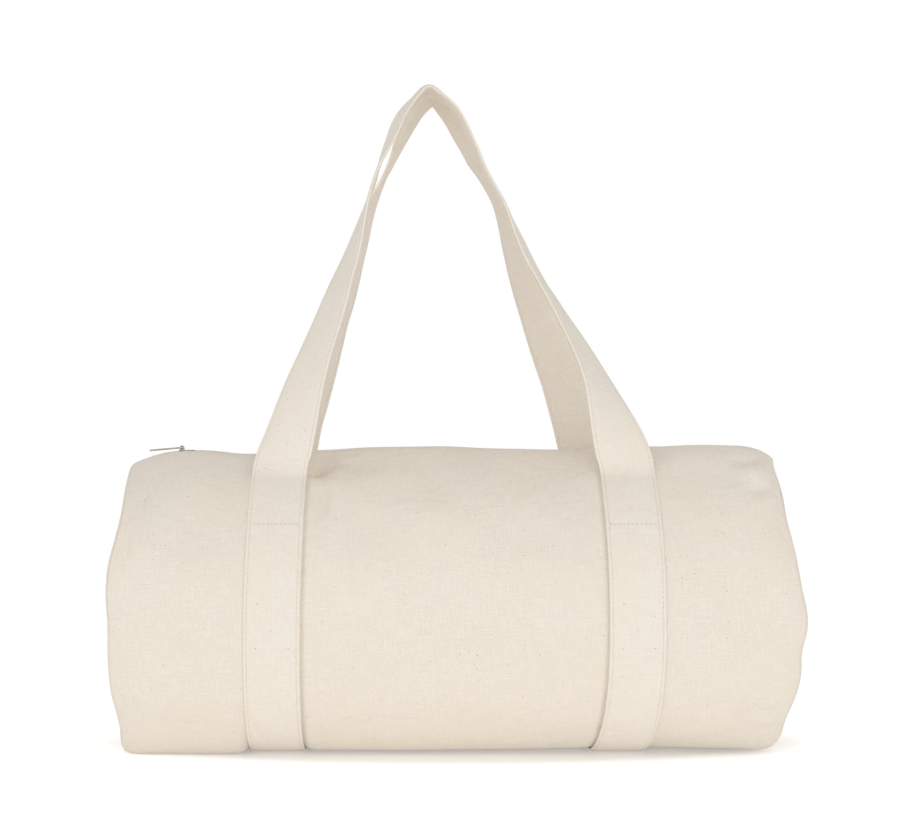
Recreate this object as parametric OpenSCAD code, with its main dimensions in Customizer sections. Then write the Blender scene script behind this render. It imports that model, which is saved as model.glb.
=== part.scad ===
// Canvas barrel bag: a stuffed round body with a zip along its top, two self-fabric
// straps sewn round it, and the two carrying handles that the straps run on into.
// The origin is on the floor under the middle of the body. X runs along the body,
// Y from front to back, Z up.

/* [Body] */
// Length between the two end seams, where they meet the zip and the floor
body_l = 478; // [340:1:640]
// Depth of the filled body, front to back, without the straps
body_d = 236; // [190:1:320]
// Height that the top would reach without the hollow that the zip lies in
crown_h = 227; // [180:1:300]
// Height at which the body is deepest
belly_h = 110; // [80:1:140]
// How far the zip lies below that height
zip_sink = 7; // [3:0.5:12]
// Half the width of the hollow that the zip lies in
sink_w = 34; // [26:1:60]
// How much further the filled body would reach if the floor did not flatten it
floor_press = 3.5; // [1:0.5:10]
// Thickness of the body canvas
canvas_t = 1.2; // [0.8:0.1:2]
// Length at each end over which the top comes down to the end seam
end_drop_l = 26; // [16:1:60]
// How far the top comes down there
end_drop = 6; // [1:0.5:10]
// Length at each end over which the body canvas turns in towards the end seam
turn_l = 12; // [6:0.5:24]
// How far it turns in
turn_in = 3.5; // [1:0.5:8]
// How far each end seam bows out at mid height
seam_bow = 7; // [0:0.5:14]
// How far each end panel swells out past its seam
end_swell = 11; // [4:0.5:20]

/* [Straps] */
// Width of the straps
strap_w = 40; // [25:1:60]
// Thickness of a strap, four layers of canvas folded and sewn
strap_t = 2.4; // [1.6:0.1:4]
// Distance of each strap's middle line from the middle of the body
strap_x = 128; // [90:1:170]
// How far the right strap has run inwards by the time it comes up the back
strap_drift = 22; // [0:1:40]
// Depth, from the middle, of the line where a strap leaves the body
crease_y = 67; // [50:1:90]
// Height of the front handle's peak above the line where it leaves the body
handle_rise = 284; // [200:1:380]
// How much lower the back handle's peak is
nest_drop = 8; // [0:1:20]
// Space between the two handles where they lean on each other
handle_gap = 0.8; // [0.6:0.1:3]

/* [Zip] */
// Width of the opening between the two canvas lips
lip_gap = 14; // [12:0.5:24]
// Width of one zip tape
tape_w = 14; // [11:0.5:20]
// Thickness of the zip tape
tape_t = 0.6; // [0.4:0.1:1]
// Space between the two tapes, which the coils fill
tape_gap = 3.2; // [3:0.1:4]
// Width of one coil, from its heads to its sewn edge
coil_w = 1.7; // [1.4:0.1:2.2]
// Height of the coil above the tape
coil_h = 1.6; // [1.2:0.1:2]
// Distance from one coil loop to the next
coil_pitch = 4; // [3:0.1:5]
// Length of one metal end stop
stop_l = 2; // [1.5:0.1:3]

/* [Slider] */
// Length of the slider
slider_l = 12; // [9:0.5:16]
// Width of the slider
slider_w = 9.2; // [8.6:0.1:11]
// Thickness of the slider's two plates
plate_t = 1; // [0.8:0.1:1.4]
// Radius of the post that joins the two plates
post_r = 1.1; // [0.8:0.05:1.2]
// Length of the pull, from its pin to its tip
pull_l = 25; // [18:0.5:36]
// Width of the pull
pull_w = 6.4; // [5.6:0.1:8]
// Thickness of the pull
pull_t = 1.2; // [0.8:0.1:1.6]
// Radius of the pull's pin
pin_r = 0.8; // [0.6:0.05:1]
// Radius of the eye in the pull's tip
eye_r = 1.5; // [1:0.1:2]
// Angle at which the pull lies down towards the left end
pull_tilt = 5; // [0:0.5:5]

/* [Hidden] */

canvas_colour = "#ded6c8";
strap_colour = "#e4dccf";
tape_colour = "#d9d0be";
coil_colour = "#e8e0cd";
metal_colour = "#b9b6ae";

$fn = 48;

// Space left between layers that lie on each other
seat_gap = 0.15;
// Running clearance between the slider and what it slides on
run_gap = 0.3;
// Clearance between the pull's pin and its crown
pin_gap = 0.08;
// Length by which a cut runs past what it cuts
overrun = 1;

// How full the cross-section is above and below the belly: 2 is an ellipse
top_fullness_share = 2;
bottom_fullness_share = 2.6;

half_l = body_l / 2;
half_d = body_d / 2;
// The body lies on the straps, so its own underside is one strap above the floor
underside = strap_t + seat_gap;
top_rise = crown_h - belly_h;
bottom_fall = belly_h - underside + floor_press;

function power(v, e) = sign(v) * pow(abs(v), e);
function smooth(u) = let (c = max(0, min(1, u))) c * c * (3 - 2 * c);
function unit(v) = v / norm(v);

// How far a point at x has come down with the end of the body, and how far it has turned in
function end_fall(x) = end_drop * smooth((abs(x) - half_l + end_drop_l) / end_drop_l);
function end_turn(x) = turn_in * pow(max(0, (abs(x) - half_l + turn_l) / turn_l), 2);

// The zip's hollow at depth y
function hollow(y) = abs(y) >= sink_w ? 0 : zip_sink * pow(cos(90 * y / sink_w), 2);

// Point [y, z] of the body's cross-section at angle a, moved inwards by inset
function section(a, inset, x = 0) =
    let (up = sin(a) >= 0,
         e = 2 / (up ? top_fullness_share : bottom_fullness_share),
         k = inset + end_turn(x),
         y = (half_d - k) * power(cos(a), e),
         z = belly_h + ((up ? top_rise - end_fall(x) : bottom_fall) - k) * power(sin(a), e))
    [y, max(underside + k, z - hollow(y))];

// The same point in the part's frame, with the bow of the end seams
function skin(a, inset, x) =
    let (p = section(a, inset, x), bow = seam_bow * pow(abs(x) / half_l, 5) * pow(cos(a), 2))
    [x + sign(x) * bow, p[0], p[1]];

// Angle of the cross-section's point at depth y on the top
function angle_at(y) = acos(power(y / half_d, top_fullness_share / 2));

// Faces of a lofted solid: `count` rings of `n` points each, closed by a cap at each end.
// The caps are strips across a ring whose second half runs back beside its first.
function loft_faces(count, n) = concat(
    [for (j = [0 : count - 2], i = [0 : n - 1], f = [0, 1])
        let (a = j * n + i, b = j * n + (i + 1) % n)
        f == 0 ? [a, b, b + n] : [a, b + n, a + n]],
    [for (i = [0 : n / 2 - 2], f = [0, 1])
        f == 0 ? [i, n - 1 - i, n - 2 - i] : [i, n - 2 - i, i + 1]],
    [for (i = [0 : n / 2 - 2], f = [0, 1], e = [(count - 1) * n])
        f == 0 ? [e + i, e + n - 2 - i, e + n - 1 - i] : [e + i, e + i + 1, e + n - 2 - i]]);

module loft(rings) {
    polyhedron([for (r = rings) each r], loft_faces(len(rings), len(rings[0])), convexity = 8);
}

// Ring at x of a skin between two insets, along the angles in arc
function skin_ring(arc, outer, inner, x) = concat(
    [for (a = arc) skin(a, outer, x)],
    [for (i = [len(arc) - 1 : -1 : 0]) skin(arc[i], inner, x)]);

function arc_between(from, to, steps) = [for (i = [0 : steps]) from + (to - from) * i / steps];

// Depths of the points between the lip and the crease: the tape's own, then evenly spaced
tape_edge = tape_gap / 2 + tape_w;
lip_depths = concat([for (s = [0, 0.5]) lip_gap / 2 + (tape_edge - lip_gap / 2) * s],
                    [for (s = [0, 0.2, 0.4, 0.6, 0.8]) tape_edge + (crease_y - tape_edge) * s]);
lip_steps = len(lip_depths);
crease_angle = angle_at(crease_y);
wrap_steps = 40;

// Angles round the body from the front crease down, under and up to the back crease
wrap = arc_between(180 - crease_angle, 360 + crease_angle, wrap_steps);
// Angles from the front lip right round to the back lip
lip_to_lip = concat([for (y = lip_depths) 180 - angle_at(y)], wrap,
                    [for (i = [lip_steps - 1 : -1 : 0]) 360 + angle_at(lip_depths[i])]);
// The same, closed over the zip
full_turn = concat(lip_to_lip, [450]);

// Stations along the body, closer together where its ends come down and turn in
turn_start = half_l - turn_l;
drop_start = half_l - end_drop_l;
end_shares = [0, 0.25, 0.5, 0.75];
right_stations = concat(
    [for (s = end_shares) drop_start + (turn_start - drop_start) * s],
    [for (s = end_shares) turn_start + turn_l * s], [half_l]);
stations = concat([for (i = [len(right_stations) - 1 : -1 : 0]) right_stations[i]],
                  [for (x = right_stations) -x]);

module main_panel() {
    color(canvas_colour) loft([for (x = stations) skin_ring(lip_to_lip, 0, canvas_t, x)]);
}

// Faces of a shell between an outer and an inner sheet, each of `rows` closed rings of n points
function sheet_faces(start, rows, n, flip) = [for (j = [0 : rows - 2], i = [0 : n - 1], f = [0, 1])
    let (a = start + j * n + i, b = start + j * n + (i + 1) % n,
         t = f == 0 ? [a, b, b + n] : [a, b + n, a + n])
    flip ? [t[2], t[1], t[0]] : t];
function rim_faces(row, rows, n, flip) = [for (i = [0 : n - 1], f = [0, 1])
    let (a = row * n + i, b = row * n + (i + 1) % n,
         t = f == 0 ? [a, b, b + rows * n] : [a, b + rows * n, a + rows * n])
    flip ? [t[2], t[1], t[0]] : t];
function pole_faces(ring, pole, n, flip) = [for (i = [0 : n - 1])
    flip ? [ring + (i + 1) % n, ring + i, pole] : [ring + i, ring + (i + 1) % n, pole]];

// Point of a round end at share q of the way from its middle to the seam
dome_shares = [1, 0.985, 0.95, 0.88, 0.75, 0.55, 0.3];
function dome_point(a, q) =
    let (rim = section(a, 0, half_l),
         bow = seam_bow * pow(cos(a) * q, 2),
         swell = (end_swell - canvas_t - seat_gap) * sqrt(1 - q * q))
    [half_l + seat_gap + bow + swell, rim[0] * q, belly_h + (rim[1] - belly_h) * q];

module end_panel() {
    n = len(full_turn);
    m = len(dome_shares);
    outwards = [canvas_t, 0, 0];
    inner = concat([for (q = dome_shares, a = full_turn) dome_point(a, q)]);
    outer = [for (p = inner) p + outwards];
    middle = dome_point(0, 0);
    polyhedron(concat(outer, inner, [middle + outwards, middle]),
        concat(sheet_faces(0, m, n, true), pole_faces((m - 1) * n, 2 * m * n + 1, n, true),
               sheet_faces(m * n, m, n, false), pole_faces((2 * m - 1) * n, 2 * m * n, n, false),
               rim_faces(0, m, n, false)), convexity = 4);
}

module end_panel_right() { color(canvas_colour) end_panel(); }

module end_panel_left() { color(canvas_colour) mirror([1, 0, 0]) end_panel(); }

// Cotton tape over the raw edges of the end seam, inside the body
binding_w = 10;
binding_t = 0.8;
binding_back = 1;

module end_binding() {
    n = len(full_turn);
    // It runs under the zip's end tab as well
    outset = tape_inset + tape_t + 2 * seat_gap;
    xs = [for (s = [1, 0.5, 0]) half_l - binding_back - binding_w * s];
    m = len(xs);
    polyhedron(concat([for (x = xs, a = full_turn) skin(a, outset, x)],
                      [for (x = xs, a = full_turn) skin(a, outset + binding_t, x)]),
        concat(sheet_faces(0, m, n, true), sheet_faces(m * n, m, n, false),
               rim_faces(0, m, n, false), rim_faces(m - 1, m, n, true)), convexity = 6);
}

module end_binding_right() { color(tape_colour) end_binding(); }

module end_binding_left() { color(tape_colour) mirror([1, 0, 0]) end_binding(); }

// The zip's layer lies under the canvas lips: its top at depth y and station x
tape_inset = canvas_t + seat_gap;
function top_z(y, x = 0) = section(angle_at(max(lip_gap / 2, abs(y))), tape_inset, x)[1];
tape_top = top_z(0);

// Part of that layer across the depths in ys, through the stations in xs
module zip_layer(ys, xs) {
    loft([for (x = xs) concat(
        [for (y = ys) [x, y, top_z(y, x)]],
        [for (i = [len(ys) - 1 : -1 : 0]) [x, ys[i], top_z(ys[i], x) - tape_t]])]);
}

tab_l = 14;
tape_end = half_l - tab_l;
half_tape = [tape_gap / 2, lip_depths[0], lip_depths[1], tape_edge];
tape_shares = [1, 0.5, 0];
tape_xs = concat([for (s = tape_shares) -drop_start - (tape_end - drop_start) * s],
                 [for (i = [2 : -1 : 0]) drop_start + (tape_end - drop_start) * tape_shares[i]]);

module zip_tape_back() { color(tape_colour) zip_layer(half_tape, tape_xs); }

module zip_tape_front() { color(tape_colour) mirror([0, 1, 0]) zip_layer(half_tape, tape_xs); }

// Canvas tab that carries the zip's layer on from the tapes' ends to the end seam
module zip_end_tab() {
    ys = [-tape_edge, -lip_depths[1], -lip_depths[0], lip_depths[0], lip_depths[1], tape_edge];
    zip_layer(ys, concat([tape_end + seat_gap], [for (s = end_shares) turn_start + turn_l * s], [half_l]));
}

module zip_end_tab_right() { color(canvas_colour) zip_end_tab(); }

module zip_end_tab_left() { color(canvas_colour) mirror([1, 0, 0]) zip_end_tab(); }

// The coils keep clear of the slider's post, and the chain ends at the stops
stop_x = drop_start - stop_l;
coil_near = post_r + run_gap;
coil_far = coil_near + coil_w;
coil_base = tape_top + seat_gap;
coil_top = coil_base + coil_h;
coil_end = stop_x - run_gap;
loop_share = 0.55;
spine_share = 0.6;

// Comb of flat loops on a straight spine
module coil() {
    spine = coil_near + coil_w * spine_share;
    loop_l = coil_pitch * loop_share;
    comb = concat([[-coil_end, coil_far], [-coil_end, spine]],
        [for (x = [-coil_end + loop_l : coil_pitch : coil_end - coil_pitch])
            each [[x, spine], [x, coil_near], [x + loop_l, coil_near], [x + loop_l, spine]]],
        [[coil_end, spine], [coil_end, coil_far]]);
    translate([0, 0, coil_base]) linear_extrude(coil_h) polygon(comb);
}

module zip_coil_back() { color(coil_colour) coil(); }

module zip_coil_front() { color(coil_colour) mirror([0, 1, 0]) coil(); }

// Metal stop clamped round a tape's inner edge, from depth y0 to y1
stop_t = 0.8;
stop_reach = 2;
stop_low = tape_top - tape_t - seat_gap - stop_t;
stop_high = tape_top + seat_gap + stop_t;

module stop_block(x, y0, y1) {
    translate([x, y0, stop_low]) cube([stop_l, y1 - y0, stop_high - stop_low]);
}

// Room for one tape inside a stop
module stop_slot(x) {
    translate([x - overrun, tape_gap / 2 - seat_gap, tape_top - tape_t - seat_gap])
        cube([stop_l + 2 * overrun, tape_w, tape_t + 2 * seat_gap]);
}

module top_stop() {
    inner = tape_gap / 2 - seat_gap - stop_t;
    difference() {
        stop_block(-stop_x - stop_l, inner, tape_gap / 2 + stop_reach);
        stop_slot(-stop_x - stop_l);
    }
}

module zip_top_stops() {
    color(metal_colour) {
        top_stop();
        mirror([0, 1, 0]) top_stop();
    }
}

module zip_bottom_stop() {
    reach = tape_gap / 2 + stop_reach;
    color(metal_colour) difference() {
        stop_block(stop_x, -reach, reach);
        stop_slot(stop_x);
        mirror([0, 1, 0]) stop_slot(stop_x);
    }
}

// The slider stands closed, against the top stops
slider_x = -stop_x + run_gap + slider_l / 2;
low_plate_z = tape_top - tape_t - run_gap - plate_t;
high_plate_z = coil_top + run_gap;
slider_top = high_plate_z + plate_t;
nose_x = slider_x - slider_l / 2;
post_back = 1.3;

// Outline of a plate: two shoulders at the nose, drawn in towards the rear
plate_l_shares = [-0.5, -0.36, 0.1, 0.5];
plate_w_shares = [0.34, 0.5, 0.5, 0.4];

module plate() {
    half = [for (i = [0 : 3]) [slider_l * plate_l_shares[i], slider_w * plate_w_shares[i]]];
    linear_extrude(plate_t)
        polygon(concat(half, [for (i = [3 : -1 : 0]) [half[i][0], -half[i][1]]]));
}

module zip_slider() {
    flange_x = slider_x + slider_l * plate_l_shares[1];
    flange_l = slider_l * (plate_l_shares[2] - plate_l_shares[1]);
    flange_y = coil_far + run_gap;
    flange_z = tape_top + run_gap;
    color(metal_colour) {
        translate([slider_x, 0, low_plate_z]) plate();
        translate([slider_x, 0, high_plate_z]) plate();
        translate([nose_x + post_back + post_r, 0, low_plate_z]) cylinder(r = post_r, h = slider_top - low_plate_z);
        for (side = [0, 1]) mirror([0, side, 0])
            translate([flange_x, flange_y, flange_z])
                cube([flange_l, slider_w / 2 - flange_y, slider_top - flange_z]);
    }
}

// Bridge on the slider that the pull's pin turns in
crown_w = 2.4;
crown_wall = 0.8;
pin_lift = 1.75;
pin_back = 2.3;
pin_x = nose_x + pin_back;
pin_z = slider_top + pin_lift;
crown_hole_r = pin_r + pin_gap;
crown_r = crown_hole_r + crown_wall;

module zip_slider_crown() {
    color(metal_colour) difference() {
        union() {
            translate([pin_x - crown_r, -crown_w / 2, slider_top]) cube([2 * crown_r, crown_w, pin_lift]);
            translate([pin_x, crown_w / 2, pin_z]) rotate([90, 0, 0]) cylinder(r = crown_r, h = crown_w);
        }
        translate([pin_x, crown_w / 2 + overrun, pin_z]) rotate([90, 0, 0])
            cylinder(r = crown_hole_r, h = crown_w + 2 * overrun);
    }
}

// The pull points to the left end and lies down from its pin
arm_l = 4.4;
arm_in = crown_w / 2 + run_gap;
neck_share = 0.72;

module pull_flat() {
    tip_r = pull_w / 2;
    tip_x = -pull_l + tip_r;
    translate([0, 0, -pull_t / 2]) linear_extrude(pull_t) {
        polygon([[-arm_l, -tip_r * neck_share], [-arm_l, tip_r * neck_share], [tip_x, tip_r], [tip_x, -tip_r]]);
        translate([tip_x, 0]) circle(r = tip_r);
    }
}

module zip_pull() {
    arm_w = pull_w / 2 - arm_in;
    color(metal_colour) translate([pin_x, 0, pin_z]) rotate([0, -pull_tilt, 0]) difference() {
        union() {
            pull_flat();
            translate([0, pull_w / 2, 0]) rotate([90, 0, 0]) cylinder(r = pin_r, h = pull_w);
            for (side = [0, 1]) mirror([0, side, 0])
                translate([-arm_l - overrun, arm_in, -pull_t / 2]) cube([arm_l + overrun, arm_w, pull_t]);
        }
        translate([-pull_l + pull_w / 2, 0, -pull_t]) cylinder(r = eye_r, h = 2 * pull_t);
    }
}

// Middle line of a strap at angle a: the right one runs inwards from the floor to the back
function drifted(a, drift) = strap_x - drift * max(0, min(1, (a - 200) / 160));

// Strap sewn round the body, from the front crease down, under and up to the back one
module strap_band(drift) {
    loft([for (a = wrap)
        let (x = drifted(a, drift), o = section(a, -seat_gap - strap_t), i = section(a, -seat_gap),
             l = x - strap_w / 2, r = x + strap_w / 2)
        [[l, o[0], o[1]], [r, o[0], o[1]], [r, i[0], i[1]], [l, i[0], i[1]]]]);
}

module strap_band_right() { color(strap_colour) strap_band(strap_drift); }

module strap_band_left() { color(strap_colour) mirror([1, 0, 0]) strap_band(0); }

// Each handle leaves its bands over their top ends, on a pressed fold, thinner than the strap
fold_thickness_share = 0.35;
fold_r = fold_thickness_share * strap_t / 2;
fold_inset = -seat_gap - strap_t - run_gap - fold_r;
fold_y = section(crease_angle, fold_inset)[0];
fold_z = section(crease_angle, fold_inset)[1];
lean_y = (strap_w + handle_gap) / 2;

// Route of a handle's middle line: its share of the way from the left fold to the right
// one, its share of the rise, and the share of a quarter turn that the strap has twisted
front_route_shares = [
    [0, 0, 0], [0.0145, 0.05, 0.06], [0.03, 0.105, 0.25], [0.0525, 0.18, 0.41], [0.1, 0.31, 0.55],
    [0.15, 0.435, 0.66], [0.2, 0.57, 0.78], [0.25, 0.7, 0.9], [0.285, 0.8, 0.97], [0.318, 0.885, 1], [0.343, 0.935, 1],
    [0.38, 0.982, 1], [0.418, 1, 1], [0.46, 0.985, 1], [0.51, 0.935, 1], [0.553, 0.862, 1],
    [0.6, 0.757, 0.98], [0.657, 0.645, 0.93], [0.715, 0.54, 0.9], [0.78, 0.435, 0.87],
    [0.84, 0.342, 0.8], [0.883, 0.27, 0.7], [0.9275, 0.18, 0.48], [0.96, 0.1, 0.25],
    [0.987, 0.045, 0.05], [1, 0, 0]];
back_route_shares = [
    [0, 0, 0], [0.0145, 0.05, 0.06], [0.033, 0.11, 0.24], [0.056, 0.187, 0.4], [0.107, 0.315, 0.55], [0.162, 0.448, 0.66],
    [0.218, 0.583, 0.74], [0.276, 0.72, 0.8], [0.316, 0.81, 0.8], [0.353, 0.88, 0.8],
    [0.391, 0.944, 0.8], [0.431, 0.987, 0.8], [0.47, 1, 0.8], [0.51, 0.985, 0.8], [0.55, 0.94, 0.8],
    [0.613, 0.851, 0.8], [0.656, 0.795, 0.79], [0.695, 0.735, 0.74], [0.725, 0.68, 0.65],
    [0.752, 0.625, 0.53], [0.779, 0.572, 0.4], [0.805, 0.515, 0.28], [0.829, 0.46, 0.19],
    [0.875, 0.355, 0.1], [0.919, 0.244, 0.05], [0.958, 0.13, 0.02], [0.983, 0.05, 0], [1, 0, 0]];

// Smooth curve through a list of points, with `parts` steps from each to the next
parts = 2;
function between(p, i, t) =
    let (a = p[max(0, i - 1)], b = p[i], c = p[i + 1], d = p[min(len(p) - 1, i + 2)])
    (2 * b + (c - a) * t + (2 * a - 5 * b + 4 * c - d) * pow(t, 2)
        + (3 * b - a - 3 * c + d) * pow(t, 3)) / 2;
function smoothed(p) = concat(
    [for (i = [0 : len(p) - 2], j = [0 : parts - 1]) between(p, i, j / parts)], [p[len(p) - 1]]);

// Handle on the front side, between the folds at left_x and right_x
module handle(route_shares, left_x, right_x, rise) {
    route = smoothed(route_shares);
    n = len(route);
    points = [for (r = route)
        [left_x + (right_x - left_x) * r[0], -fold_y + (fold_y - lean_y) * r[1], fold_z + rise * r[1]]];
    rings = [for (i = [0 : n - 1])
        let (along = unit(points[min(n - 1, i + 1)] - points[max(0, i - 1)]),
             depth = unit([0, 1, 0] - along * along[1]),
             side = i == 0 ? [1, 0, 0] : i == n - 1 ? [-1, 0, 0] : cross(depth, along),
             twist = 90 * max(0, min(1, route[i][2])),
             across = (side * cos(twist) - depth * sin(twist)) * strap_w / 2,
             half_t = i == 0 || i == n - 1 ? fold_r : strap_t / 2,
             through = unit(cross(across, along)) * half_t)
        [points[i] - across - through, points[i] + across - through,
         points[i] + across + through, points[i] - across + through]];
    loft(rings);
}

module handle_front() { color(strap_colour) handle(front_route_shares, -strap_x, strap_x, handle_rise); }

module handle_back() {
    color(strap_colour) mirror([0, 1, 0])
        handle(back_route_shares, -strap_x, strap_x - strap_drift, handle_rise - nest_drop);
}

main_panel();
end_panel_left();
end_panel_right();
end_binding_left();
end_binding_right();
zip_tape_front();
zip_tape_back();
zip_coil_front();
zip_coil_back();
zip_end_tab_left();
zip_end_tab_right();
zip_top_stops();
zip_bottom_stop();
zip_slider();
zip_slider_crown();
zip_pull();
strap_band_left();
strap_band_right();
handle_front();
handle_back();
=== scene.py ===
import math

import bpy
import numpy as np
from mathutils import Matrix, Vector


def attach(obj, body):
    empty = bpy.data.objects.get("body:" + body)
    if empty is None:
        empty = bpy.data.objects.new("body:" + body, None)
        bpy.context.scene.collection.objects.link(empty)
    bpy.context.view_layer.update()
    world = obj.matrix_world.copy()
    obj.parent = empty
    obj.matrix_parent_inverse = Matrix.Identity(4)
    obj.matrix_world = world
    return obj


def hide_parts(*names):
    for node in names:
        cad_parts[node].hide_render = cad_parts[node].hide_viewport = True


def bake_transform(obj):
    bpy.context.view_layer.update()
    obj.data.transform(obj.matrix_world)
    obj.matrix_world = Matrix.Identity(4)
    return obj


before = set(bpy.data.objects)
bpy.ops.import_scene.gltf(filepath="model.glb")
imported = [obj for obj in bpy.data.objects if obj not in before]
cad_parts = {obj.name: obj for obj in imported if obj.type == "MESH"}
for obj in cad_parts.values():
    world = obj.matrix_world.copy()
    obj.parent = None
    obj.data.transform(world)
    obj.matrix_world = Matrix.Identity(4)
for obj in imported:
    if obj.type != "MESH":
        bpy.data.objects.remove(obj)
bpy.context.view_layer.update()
print("loaded the frame:", len(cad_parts), "nodes")

mm = 0.001  # every size below is in millimetres, Blender's own are in metres

view = {
    "eye": (-4, -1500, 245),
    "lens": 78.6,
    "sensor": 36,
    "clip": (0.05, 20),  # metres
}

bpy.ops.object.camera_add(
    location=[c * mm for c in view["eye"]], rotation=(math.radians(90), 0, 0)
)
camera = bpy.context.object
camera.data.lens = view["lens"]
camera.data.sensor_width = view["sensor"]
camera.data.clip_start, camera.data.clip_end = view["clip"]
bpy.context.scene.camera = camera
bpy.context.scene.view_settings.view_transform = "Standard"


# a hex colour as a paint program gives it, as the linear value a shader wants
def colour(hexCode):
    parts = [int(hexCode[i : i + 2], 16) / 255 for i in (0, 2, 4)]
    return (*[c / 12.92 if c <= 0.04045 else ((c + 0.055) / 1.055) ** 2.4 for c in parts], 1.0)


# adds one node: settings are its own values, inputs are numbers or other nodes' sockets
def addNode(material, kind, settings=None, inputs=None):
    node = material.node_tree.nodes.new(kind)
    for key, value in (settings or {}).items():
        setattr(node, key, value)
    for key, value in (inputs or {}).items():
        if isinstance(value, bpy.types.NodeSocket):
            material.node_tree.links.new(value, node.inputs[key])
        else:
            node.inputs[key].default_value = value
    return node


def addMath(material, operation, *values):
    inputs = dict(enumerate(values))
    return addNode(material, "ShaderNodeMath", {"operation": operation}, inputs).outputs[0]


def addVector(material, operation, inputs, output=0):
    node = addNode(material, "ShaderNodeVectorMath", {"operation": operation}, inputs)
    return node.outputs[output]


# a value between low and high, spread over another range
def addRange(material, value, low=0.0, high=1.0, start=0.0, end=1.0, shape="LINEAR"):
    inputs = {"Value": value, "From Min": low, "From Max": high, "To Min": start, "To Max": end}
    return addNode(material, "ShaderNodeMapRange", {"interpolation_type": shape}, inputs).outputs[0]


def addMix(material, share, one, other):
    inputs = {"Factor": share, "A": one, "B": other}
    return addNode(material, "ShaderNodeMix", {"data_type": "RGBA"}, inputs).outputs["Result"]


def addBump(material, height, depth, strength=1.0, under=None):
    inputs = {"Height": height, "Distance": depth * mm, "Strength": strength}
    if under:
        inputs["Normal"] = under
    return addNode(material, "ShaderNodeBump", None, inputs).outputs[0]


def addNoise(material, place, scale, detail=2, roughness=0.5, distortion=0, space="2D"):
    inputs = {
        "Vector": place, "Scale": scale, "Detail": detail, "Roughness": roughness,
        "Distortion": distortion,
    }
    return addNode(material, "ShaderNodeTexNoise", {"noise_dimensions": space}, inputs)


def newMaterial(name):
    material = bpy.data.materials.new(name)
    material.use_nodes = True
    material.node_tree.nodes.clear()
    return material


def placeOn(material):
    return addNode(material, "ShaderNodeTexCoord").outputs["Object"]


def coat(material, inputs):
    shader = addNode(material, "ShaderNodeBsdfPrincipled", None, inputs)
    addNode(material, "ShaderNodeOutputMaterial", None, {"Surface": shader.outputs[0]})
    return material


# 1 where the camera looks, itself or by the other kind of ray, and 0 for light on its way
def seenBy(material, otherRay):
    path = addNode(material, "ShaderNodeLightPath").outputs
    return addMath(material, "MAXIMUM", path["Is Camera Ray"], path[otherRay])


studio = {
    "floor": "FAFAFA",
    "floorSize": 9,  # metres
    "floorDrop": 0.0002,
    "tableGlow": 0.17,  # the table is a lit sheet, which brightens the belly from below
    "floorLift": 0.25,  # added for the camera alone, so that the open floor is white
    "shadowReach": (0.255, 0.10, 1),  # metres from the middle of the bag to where it begins
    "shadowEdge": (0.85, 1.15),
    "worldLight": 0.67,
    "aim": (0, 0, 0.18),
    "boxes": {  # place and size in metres, power in watts
        "keyBox": ((-1.9, -1.7, 0.5), (1.5, 1.0), 4.2),
        "lowBox": ((0.45, -2.3, 0.42), (2.4, 0.5), 12.0),
    },
}


# painted white card: it takes the object's soft shadow, and is white to the camera elsewhere
def makeFloor():
    card = newMaterial("whiteCard")
    seen = seenBy(card, "Is Glossy Ray")
    away = addVector(card, "DIVIDE", {0: placeOn(card), 1: studio["shadowReach"]})
    away = addVector(card, "LENGTH", {0: away}, "Value")
    lift = addRange(card, away, *studio["shadowEdge"], 0, studio["floorLift"], "SMOOTHSTEP")
    strength = addMath(card, "MULTIPLY_ADD", seen, lift, studio["tableGlow"])
    paint = addNode(card, "ShaderNodeBsdfDiffuse", None, {"Color": colour(studio["floor"])})
    glow = addNode(card, "ShaderNodeEmission", None, {"Color": (1, 1, 1, 1), "Strength": strength})
    both = addNode(card, "ShaderNodeAddShader", None, {0: paint.outputs[0], 1: glow.outputs[0]})
    addNode(card, "ShaderNodeOutputMaterial", None, {"Surface": both.outputs[0]})

    bpy.ops.object.select_all(action="DESELECT")
    bpy.ops.mesh.primitive_plane_add(
        size=studio["floorSize"], location=(0, 0, -studio["floorDrop"])
    )
    floor = bpy.context.object
    floor.name = "studioFloor"
    floor.data.materials.append(card)


# even light from all round, and plain white behind the bag
def makeWorld():
    world = bpy.data.worlds.new("studioWorld")
    bpy.context.scene.world = world
    world.use_nodes = True
    world.node_tree.nodes.clear()
    mixed = {0: seenBy(world, "Is Transmission Ray")}
    for slot, strength in ((1, studio["worldLight"]), (2, 1.0)):
        inputs = {"Color": (1, 1, 1, 1), "Strength": strength}
        mixed[slot] = addNode(world, "ShaderNodeBackground", None, inputs).outputs[0]
    mixed = addNode(world, "ShaderNodeMixShader", None, mixed)
    addNode(world, "ShaderNodeOutputWorld", None, {"Surface": mixed.outputs[0]})


def addSoftBox(name, place, size, power):
    bpy.ops.object.light_add(type="AREA", location=place)
    lamp = bpy.context.object
    lamp.name = name
    lamp.data.shape = "RECTANGLE"
    lamp.data.size, lamp.data.size_y = size
    lamp.data.energy = power
    lamp.visible_camera = False
    aim = Vector(studio["aim"]) - Vector(place)
    lamp.rotation_euler = aim.to_track_quat("-Z", "Y").to_euler()


makeFloor()
makeWorld()
for name, (place, size, power) in studio["boxes"].items():
    addSoftBox(name, place, size, power)
print("camera, floor and lights are in place")


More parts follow.
